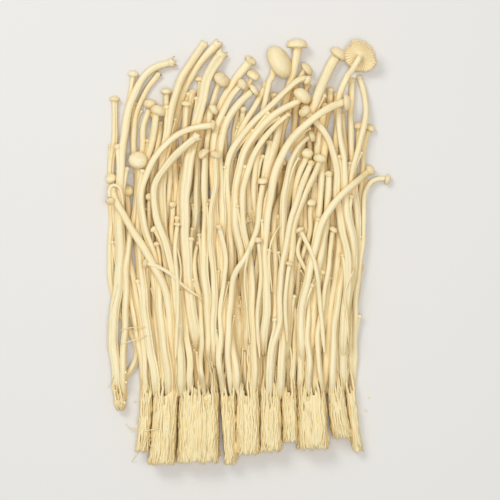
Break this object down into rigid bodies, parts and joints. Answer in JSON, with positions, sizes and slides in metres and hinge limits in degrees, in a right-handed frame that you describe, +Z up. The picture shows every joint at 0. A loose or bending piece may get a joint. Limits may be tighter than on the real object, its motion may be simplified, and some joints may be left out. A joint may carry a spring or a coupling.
{
  "type": "enoki mushroom bunch",
  "caption": "Bunch of fresh enoki mushrooms lying on its side: long pale stems with small round caps, grown together into a ridged cut base.",
  "frame": {"origin": "on the surface the bunch lies on, under the middle of its bounding box", "axes": "+Z up, +Y along the stems from the cut ends to the caps, +X across the bunch to the right when it is seen from above with the caps away from the viewer"},
  "size_m": [0.1088, 0.164, 0.0186],
  "materials": {
    "flesh": "pale cream mushroom flesh, satin and slightly translucent, with fine lengthwise fibres",
    "base": "grown-together stem bases, ridged and matt, yellower towards the fibrous cut ends"
  },
  "bodies": {
    "root": {"clump_01_left_strip": "base", "clump_02_left_edge": "base", "clump_03_left": "base", "clump_04_left_wide": "base", "clump_05_narrow": "base", "clump_06_middle": "base", "clump_07_middle_right": "base", "clump_08_short": "base", "clump_09_right_wide": "base", "clump_10_leaning": "base", "clump_11_right_strip": "base", "mushroom_left_hook_outer": "flesh", "mushroom_left_hook_inner": "flesh", "mushroom_left_tall_pin": "flesh", "mushroom_left_side_button": "flesh", "mushroom_left_oval_button": "flesh", "mushroom_left_crossing": "flesh", "mushroom_left_tall_button": "flesh", "mushroom_left_round_cap": "flesh", "mushroom_left_rimmed_cap": "flesh", "mushroom_left_back_button": "flesh", "mushroom_tall_torn_outer": "flesh", "mushroom_tall_torn_middle": "flesh", "mushroom_tall_torn_inner": "flesh", "mushroom_folded_cap": "flesh", "mushroom_turned_button": "flesh", "mushroom_sweeping_over": "flesh", "mushroom_sweeping_under": "flesh", "mushroom_crumpled_left": "flesh", "mushroom_crumpled_right": "flesh", "mushroom_bent_pin": "flesh", "mushroom_middle_button_left": "flesh", "mushroom_middle_button_right": "flesh", "mushroom_middle_crumpled": "flesh", "mushroom_middle_back_cap": "flesh", "mushroom_middle_slanted": "flesh", "mushroom_hooked_pin": "flesh", "mushroom_broad_cap_slanted": "flesh", "mushroom_slanted_partner": "flesh", "mushroom_leaning_button": "flesh", "mushroom_broken_stub": "flesh", "mushroom_great_oval_cap": "flesh", "mushroom_tall_domed_cap": "flesh", "mushroom_behind_domed_cap": "flesh", "mushroom_tall_tilted_cap": "flesh", "mushroom_long_arching_cap": "flesh", "mushroom_inner_button": "flesh", "mushroom_right_thin_button": "flesh", "mushroom_right_button": "flesh", "mushroom_right_side_button": "flesh", "mushroom_backward_arch": "flesh", "mushroom_gilled_cap": "flesh", "mushroom_right_upright": "flesh", "mushroom_right_bowed": "flesh", "mushroom_right_pin": "flesh", "mushroom_right_crossing": "flesh", "mushroom_right_hooked": "flesh", "mushroom_right_short_pin": "flesh", "mushroom_right_straight_outer": "flesh", "mushroom_right_straight_inner": "flesh"}
  },
  "joints": []
}
